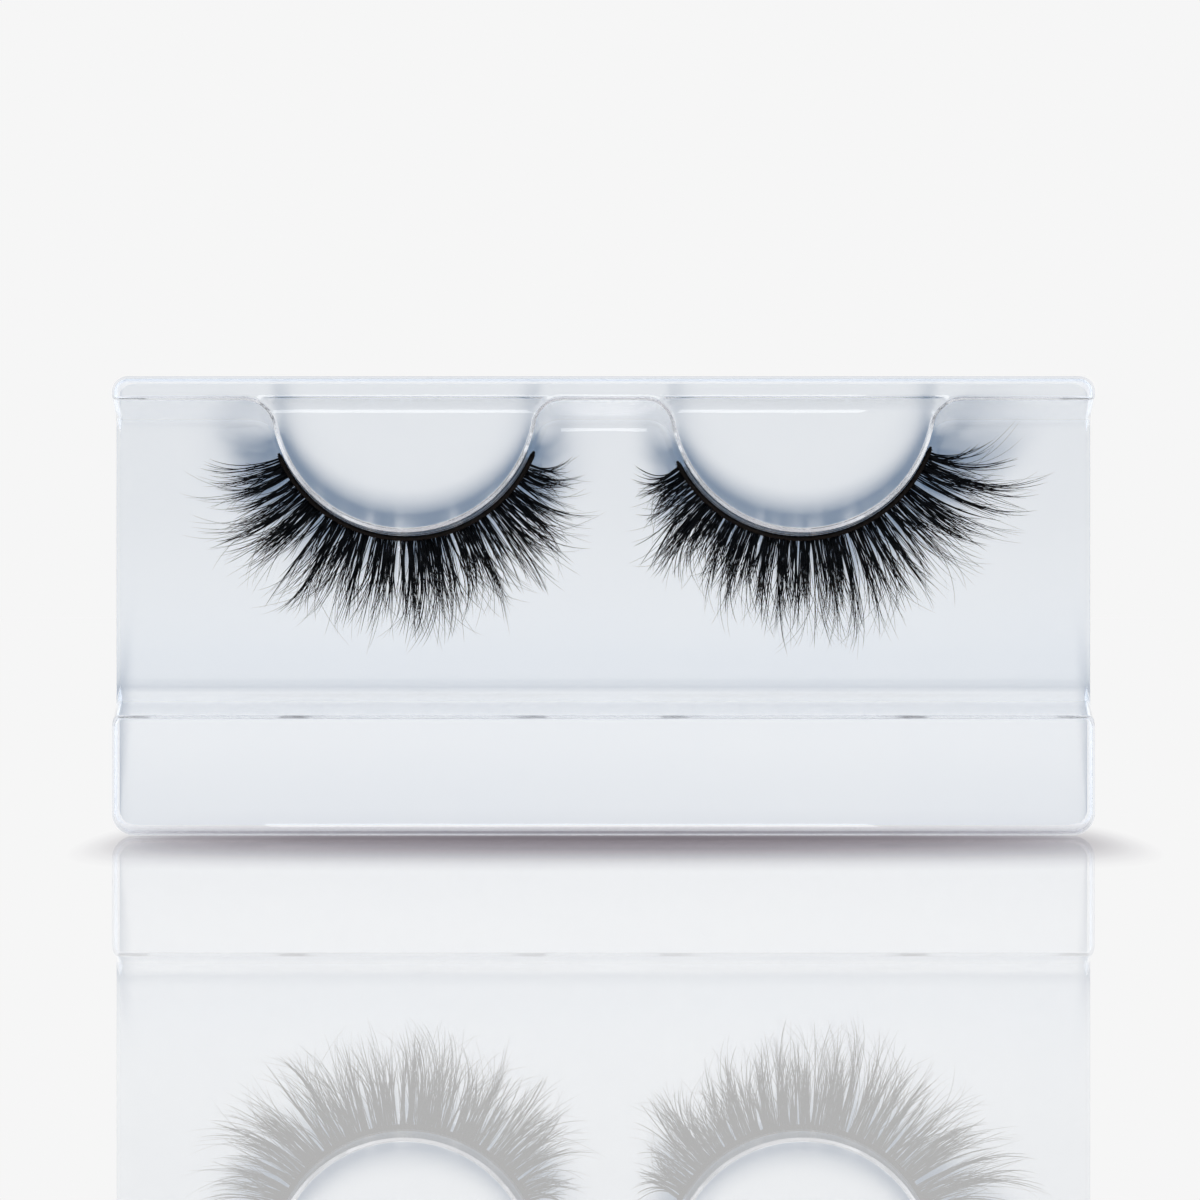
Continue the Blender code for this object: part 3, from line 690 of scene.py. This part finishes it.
def build_band(label, side, ends, mat):
    """Waxed cotton: a flat cord with a knot for every tuft and two fine threads wound round it."""
    rng = random.Random(77 + side)
    tubes = Tubes()
    start, end = ends[0] - 1.5, ends[1] + 1.5
    thickness = BAND_THICK + CLEAR + GLUE_THICK - 0.02
    middle = 0.16 + thickness / 2
    steps = 260
    verts, faces = [], []
    sides = 12
    for i in range(steps + 1):
        theta = start + (end - start) * i / steps
        edge = min(1.0, 0.45 + 0.55 * min(i, steps - i) / 5)
        knot = 0.5 + 0.5 * math.cos(2 * math.pi * (theta - start) / 2.05 + 0.5 * math.sin(theta))
        for s in range(sides):
            a = 2 * math.pi * s / sides
            ca, sa = math.cos(a), math.sin(a)
            thick = thickness * 0.5 * (0.9 + 0.1 * knot) * edge
            tall = BAND_TALL * 0.5 * (0.88 + 0.12 * knot) * edge
            away = middle + thick * math.copysign(abs(ca) ** 0.8, ca)
            up = tall * math.copysign(abs(sa) ** 0.75, sa)
            verts.append(tuple(on_wall(side, theta, away, up)))
    for i in range(steps):
        for s in range(sides):
            a, b = i * sides + s, i * sides + (s + 1) % sides
            faces.append((a, b, b + sides, a + sides))
    faces.append(tuple(reversed(range(sides))))
    faces.append(tuple(steps * sides + s for s in range(sides)))
    tubes.verts, tubes.faces = verts, faces
    for strand in range(2):
        phase = math.pi * strand
        path, radii = [], []
        turns = (end - start - 2.0) / 2.05
        total = int(turns * 10)
        for i in range(total + 1):
            u = i / total
            theta = start + 1.0 + (end - start - 2.0) * u
            a = phase + 2 * math.pi * turns * u
            away = middle + (thickness * 0.5 - 0.02) * math.cos(a)
            up = (BAND_TALL * 0.5 - 0.03) * math.sin(a)
            path.append(on_wall(side, theta, away, up))
            radii.append(0.038 + 0.006 * math.sin(7 * a))
        tubes.add(path, radii, sides=5)
    obj = tubes.build(f"{label}_band_cord", mat)
    bm = bmesh.new()
    bm.from_mesh(obj.data)
    bmesh.ops.recalc_face_normals(bm, faces=bm.faces)
    bm.to_mesh(obj.data)
    bm.free()
    obj.data.shade_smooth()
    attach(obj, f"{label}_lash")
    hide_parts(f"{label}_lash_band")
    return obj


def build_glue(label, side, ends, mat):
    """The bead of removable glue between the band and the wall, uneven along its edges."""
    rng = random.Random(5 + side)
    start, end = ends[0] + 2.0, ends[1] - 2.0
    steps, sides = 220, 10
    verts, faces = [], []
    phases = [rng.uniform(0, 6.28) for _ in range(4)]
    for i in range(steps + 1):
        theta = start + (end - start) * i / steps
        edge = min(1.0, 0.5 + 0.5 * min(i, steps - i) / 4)
        wob = 0.06 * math.sin(theta * 0.9 + phases[0]) + 0.05 * math.sin(theta * 2.3 + phases[1])
        for s in range(sides):
            a = 2 * math.pi * s / sides
            ca, sa = math.cos(a), math.sin(a)
            away = 0.08 + 0.06 * edge * math.copysign(abs(ca) ** 0.6, ca)
            up = (GLUE_TALL * 0.5 * (0.92 + wob)) * edge * math.copysign(abs(sa) ** 0.8, sa)
            verts.append(tuple(on_wall(side, theta, away, up)))
    for i in range(steps):
        for s in range(sides):
            a, b = i * sides + s, i * sides + (s + 1) % sides
            faces.append((a, b, b + sides, a + sides))
    faces.append(tuple(reversed(range(sides))))
    faces.append(tuple(steps * sides + s for s in range(sides)))
    obj = mesh_object(f"{label}_glue_line", verts, faces, mat)
    bm = bmesh.new()
    bm.from_mesh(obj.data)
    bmesh.ops.recalc_face_normals(bm, faces=bm.faces)
    bm.to_mesh(obj.data)
    bm.free()
    obj.data.shade_smooth()
    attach(obj, f"{label}_lash")
    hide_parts(f"{label}_lash_adhesive")
    return obj


def build_lash(label, side, ends, gaps, spikes, mats, bare=(0.0, 0.0)):
    build_glue(label, side, ends, mats["glue"])
    build_band(label, side, ends, mats["band"])
    bounds = [ends[0], *gaps, ends[1]]
    for n, (a, b) in enumerate(zip(bounds, bounds[1:]), 1):
        first = a + (bare[0] if n == 1 else 0.0)
        last = b - (bare[1] if n == len(bounds) - 1 else 0.0)
        build_fan(label, side, n, first, last, spikes, mats["hair"])


# ================================================================ the object
sheet = clear_material()
mats = {"hair": hair_material(), "band": cotton_material(), "glue": glue_material()}
tray = build_tray(sheet)
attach(tray, "tray")
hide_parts("tray")
build_lash("left", -1, LEFT_ENDS, LEFT_GAPS, LEFT_SPIKES, mats, bare=(0.0, 3.6))
build_lash("right", 1, RIGHT_ENDS, RIGHT_GAPS, RIGHT_SPIKES, mats)


# ================================================================ stage
WHITE = 0.922  # the background's level in scene-linear light


def floor_material():
    """Pale acrylic that gives off an even light and mirrors what stands on it."""
    mat, tree, out = new_material("pale_floor")
    even = tree.nodes.new("ShaderNodeEmission")
    even.inputs["Color"].default_value = (1.0, 1.0, 1.0, 1.0)
    even.inputs["Strength"].default_value = WHITE
    mirror = tree.nodes.new("ShaderNodeBsdfGlossy")
    mirror.inputs["Roughness"].default_value = 0.0
    mirror.inputs["Color"].default_value = (1.0, 1.0, 1.0, 1.0)
    blend = tree.nodes.new("ShaderNodeMixShader")
    blend.inputs[0].default_value = 0.52
    tree.links.new(even.outputs[0], blend.inputs[1])
    tree.links.new(mirror.outputs[0], blend.inputs[2])
    tree.links.new(blend.outputs[0], out.inputs["Surface"])
    return mat


def shade_material():
    """A soft contact shade on the floor, darkest just in front of the tray and gone at its rim."""
    mat, tree, out = new_material("contact_shade")
    links = tree.links
    coords = tree.nodes.new("ShaderNodeTexCoord").outputs["Object"]
    split = tree.nodes.new("ShaderNodeSeparateXYZ")
    links.new(coords, split.inputs[0])

    def math_node(kind, a, b=None):
        made = tree.nodes.new("ShaderNodeMath")
        made.operation = kind
        for socket, value in zip(made.inputs, (a, b)):
            if value is None:
                continue
            if isinstance(value, (int, float)):
                socket.default_value = value
            else:
                links.new(value, socket)
        return made.outputs[0]

    # squared distance from the middle of a rounded patch that lies in front of the tray
    half = math_node("ABSOLUTE", math_node("DIVIDE", math_node("SUBTRACT", split.outputs["X"], 0.0012), 0.0572))
    across = math_node(
        "ADD",
        math_node("MULTIPLY", math_node("POWER", half, 2.0), 0.2),
        math_node("MULTIPLY", math_node("POWER", half, 14.0), 0.8),
    )
    ahead = math_node("ADD", split.outputs["Y"], 0.0165)
    deep = math_node("POWER", math_node("ABSOLUTE", math_node("DIVIDE", ahead, 0.057)), 2.0)
    away = math_node("ADD", across, deep)
    level = ramp(
        tree,
        away,
        [
            (0.0, (0.31, 0.28, 0.305)),
            (0.07, (0.375, 0.345, 0.37)),
            (0.15, (0.49, 0.465, 0.49)),
            (0.28, (0.61, 0.595, 0.615)),
            (0.42, (0.74, 0.73, 0.745)),
            (0.6, (0.87, 0.865, 0.875)),
            (0.8, (0.955, 0.953, 0.957)),
            (1.0, (1.0, 1.0, 1.0)),
        ],
    )
    clear = tree.nodes.new("ShaderNodeBsdfTransparent")
    links.new(level.outputs["Color"], clear.inputs["Color"])
    links.new(clear.outputs[0], out.inputs["Surface"])
    return mat


def card_material():
    """Pale card that stands behind the front of the tray as a backdrop: partly lit, partly giving off
    its own even light, with painted shade that makes it a little duller towards its foot and its top."""
    mat, tree, out = new_material("pale_card")
    links = tree.links
    coords = tree.nodes.new("ShaderNodeTexCoord").outputs["Object"]
    split = tree.nodes.new("ShaderNodeSeparateXYZ")
    links.new(coords, split.inputs[0])
    height = tree.nodes.new("ShaderNodeMapRange")
    height.inputs["From Min"].default_value = 0.0
    height.inputs["From Max"].default_value = 0.05
    links.new(split.outputs["Z"], height.inputs["Value"])
    # painted shade: a height ramp that makes the card duller towards its foot and its top
    painted_height_shade = ramp(
        tree,
        height.outputs["Result"],
        [(0.0, (0.86, 0.87, 0.89)), (0.2, (0.95, 0.95, 0.955)), (0.4, (0.99, 0.99, 0.99)), (0.7, (0.935, 0.935, 0.935))],
    )

    def with_painted_shade(colour):
        mix = tree.nodes.new("ShaderNodeMix")
        mix.data_type = "RGBA"
        mix.blend_type = "MULTIPLY"
        mix.inputs["Factor"].default_value = 1.0
        mix.inputs[6].default_value = (*colour, 1.0)
        links.new(painted_height_shade.outputs["Color"], mix.inputs[7])
        return mix.outputs[2]

    # the lit colour and the card's own light both carry the painted shade
    matt = tree.nodes.new("ShaderNodeBsdfDiffuse")
    links.new(with_painted_shade((0.337, 0.425, 0.542)), matt.inputs["Color"])
    glow = tree.nodes.new("ShaderNodeEmission")
    links.new(with_painted_shade((0.1465, 0.218, 0.321)), glow.inputs["Color"])
    both = tree.nodes.new("ShaderNodeAddShader")
    links.new(matt.outputs[0], both.inputs[0])
    links.new(glow.outputs[0], both.inputs[1])
    links.new(both.outputs[0], out.inputs["Surface"])
    return mat


def plane(name, corners, mat):
    mesh = bpy.data.meshes.new(name)
    mesh.from_pydata(corners, [], [(0, 1, 2, 3)])
    mesh.materials.append(mat)
    obj = bpy.data.objects.new(name, mesh)
    bpy.context.scene.collection.objects.link(obj)
    return obj


floor = plane("floor", [(-6, -6, -0.00002), (6, -6, -0.00002), (6, 6, -0.00002), (-6, 6, -0.00002)], floor_material())
floor.visible_shadow = False
floor.visible_glossy = False

shade = plane(
    "contact_shade",
    [(-0.075, -0.085, -0.00001), (0.075, -0.085, -0.00001), (0.075, 0.045, -0.00001), (-0.075, 0.045, -0.00001)],
    shade_material(),
)
shade.visible_shadow = False
shade.visible_diffuse = False
shade.visible_glossy = False

CARD_Y = 0.00375
card = plane(
    "pale_card",
    [(-0.09, CARD_Y, 0.0), (0.09, CARD_Y, 0.0), (0.09, CARD_Y, 0.08), (-0.09, CARD_Y, 0.08)],
    card_material(),
)
card.visible_camera = False
card.visible_glossy = False
card.visible_diffuse = False
card.visible_shadow = False

# ---------------------------------------------------------------- world
world = bpy.data.worlds.new("studio")
bpy.context.scene.world = world
world.use_nodes = True
wt = world.node_tree
wt.nodes.clear()
w_out = wt.nodes.new("ShaderNodeOutputWorld")
w_back = wt.nodes.new("ShaderNodeBackground")
w_coord = wt.nodes.new("ShaderNodeTexCoord")
w_split = wt.nodes.new("ShaderNodeSeparateXYZ")
wt.links.new(w_coord.outputs["Generated"], w_split.inputs[0])


def world_math(kind, a, b=None, clamp=False):
    made = wt.nodes.new("ShaderNodeMath")
    made.operation = kind
    made.use_clamp = clamp
    for socket, value in zip(made.inputs, (a, b)):
        if value is None:
            continue
        if isinstance(value, (int, float)):
            socket.default_value = value
        else:
            wt.links.new(value, socket)
    return made.outputs[0]


aside = world_math("ABSOLUTE", w_split.outputs["X"])
aside = ramp(wt, aside, [(0.35, (1, 1, 1)), (0.9, (0.84, 0.87, 0.92))])
upward = ramp(wt, world_math("ABSOLUTE", w_split.outputs["Z"]), [(0.40, (1, 1, 1)), (0.80, (0.74, 0.78, 0.83)), (0.97, (0.42, 0.48, 0.57))])
w_mix = wt.nodes.new("ShaderNodeMix")
w_mix.data_type = "RGBA"
w_mix.blend_type = "MULTIPLY"
w_mix.inputs["Factor"].default_value = 1.0
wt.links.new(aside.outputs["Color"], w_mix.inputs[6])
wt.links.new(upward.outputs["Color"], w_mix.inputs[7])
wt.links.new(w_mix.outputs[2], w_back.inputs["Color"])
w_back.inputs["Strength"].default_value = WHITE
wt.links.new(w_back.outputs[0], w_out.inputs["Surface"])


# ---------------------------------------------------------------- lights
def area(name, where, target, size, power, colour=(1, 1, 1), glossy=True, diffuse=True):
    data = bpy.data.lights.new(name, "AREA")
    data.shape = "RECTANGLE"
    data.size, data.size_y = size
    data.energy = power
    data.color = colour
    obj = bpy.data.objects.new(name, data)
    obj.location = where
    obj.rotation_euler = (Vector(target) - Vector(where)).to_track_quat("-Z", "Y").to_euler()
    obj.visible_camera = False
    obj.visible_transmission = False
    obj.visible_glossy = glossy
    obj.visible_diffuse = diffuse
    bpy.context.scene.collection.objects.link(obj)
    return obj


def below(distance, angle, x=0.0):
    a = math.radians(angle)
    return (x, -0.00625 - distance * math.cos(a), 0.030 - distance * math.sin(a))


area("key_shadow", below(1.2, 48.0, -0.013), (0, 0, 0.03), (0.28, 0.50), 42.0, (1.0, 0.733, 0.495), glossy=False)
area("key_tail", below(1.2, 63.0, -0.013), (0, 0, 0.03), (0.30, 0.70), 10.3, (1.0, 0.733, 0.495), glossy=False)
area("key_shine", below(0.36, 33.0, -0.006), (0, 0, 0.03), (0.112, 0.18), 0.19, diffuse=False)

# ---------------------------------------------------------------- camera
cam_data = bpy.data.cameras.new("camera")
cam_data.sensor_width = SENSOR
cam_data.lens = LENS
cam_data.clip_start = 0.01
cam_data.clip_end = 50.0
camera = bpy.data.objects.new("camera", cam_data)
camera.location = EYE * MM
camera.rotation_euler = (math.pi / 2, 0.0, 0.0)
bpy.context.scene.collection.objects.link(camera)
bpy.context.scene.camera = camera

scene = bpy.context.scene
scene.view_settings.view_transform = "Standard"
scene.view_settings.look = "None"
scene.cycles.use_denoising = True
scene.cycles.max_bounces = 200
scene.cycles.transmission_bounces = 200
scene.cycles.transparent_max_bounces = 64
scene.cycles.glossy_bounces = 200
scene.cycles.caustics_reflective = False
scene.cycles.caustics_refractive = False
scene.cycles.blur_glossy = 0.0
